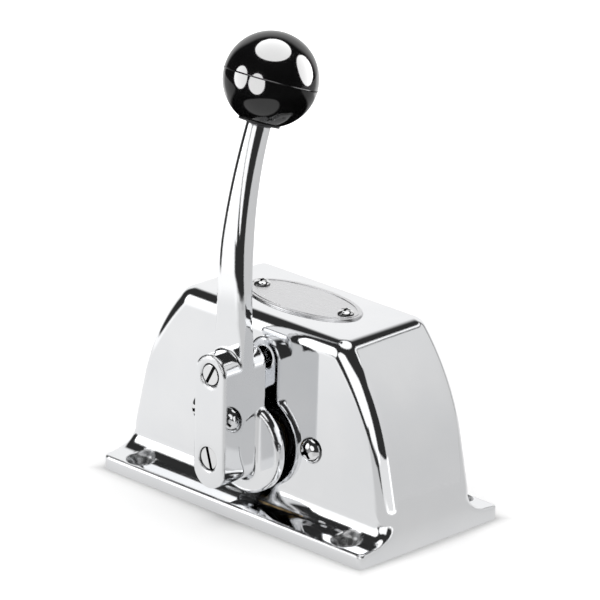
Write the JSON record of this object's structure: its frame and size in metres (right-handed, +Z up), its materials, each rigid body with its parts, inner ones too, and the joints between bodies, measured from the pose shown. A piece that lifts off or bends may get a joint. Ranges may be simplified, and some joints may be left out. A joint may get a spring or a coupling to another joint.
{
  "type": "boat throttle control lever",
  "caption": "Side-mounted single boat throttle control: a ball-topped curved lever turns on the face of a bell-shaped bright cast housing with a drilled base flange.",
  "frame": {"origin": "middle of the base's underside, at the centre of the four mounting holes", "axes": "+X along the long side of the base, +Y away from the lever side, +Z up from the deck"},
  "size_m": [0.178, 0.1129, 0.2439],
  "materials": {
    "bright_casting": "mirror polished chrome on cast metal",
    "bright_screw": "polished screw metal",
    "plate_metal": "satin plate with a fine raised line",
    "black_ball": "glossy moulded phenolic",
    "inner_steel": "plain zinc-plated steel",
    "bronze": "turned bearing bronze",
    "insert_brass": "turned brass",
    "fibre": "pressed friction fibre",
    "nylon": "black nylon"
  },
  "bodies": {
    "base": {"housing": "bright_casting", "name_plate": "plate_metal", "name_plate_screws": "bright_screw", "mechanism_bracket": "inner_steel", "bracket_screws": "bright_screw", "bracket_lock_washers": "inner_steel", "bracket_nuts": "inner_steel", "front_bush": "bronze", "thrust_washer": "nylon", "rear_bush": "bronze", "friction_pad": "fibre", "cable_anchor": "inner_steel", "anchor_screws": "inner_steel"},
    "lever": {"lever_arm": "bright_casting", "ball_knob": "black_ball", "knob_insert": "insert_brass", "knob_washer": "nylon", "hub_screw": "bright_screw", "bore_plug_screw": "bright_screw", "lever_shaft": "inner_steel", "shaft_key": "inner_steel", "shaft_ring": "inner_steel", "friction_disc": "inner_steel", "spring_washers": "inner_steel", "friction_nut": "inner_steel", "crank_arm": "inner_steel", "crank_set_screw": "inner_steel", "crank_pin": "inner_steel", "pin_clip": "inner_steel"},
    "swivel": {"cable_swivel": "insert_brass"}
  },
  "joints": [
    {"name": "lever_hinge", "type": "hinge", "parent": "base", "child": "lever", "pos_m": [0, 0, 0.0355], "axis": [0, 1, 0], "range_deg": [-60, 60]},
    {"name": "swivel_hinge", "type": "hinge", "parent": "lever", "child": "swivel", "pos_m": [0.022, 0, 0.0355], "axis": [0, 1, 0], "range_deg": [-75, 75]}
  ]
}
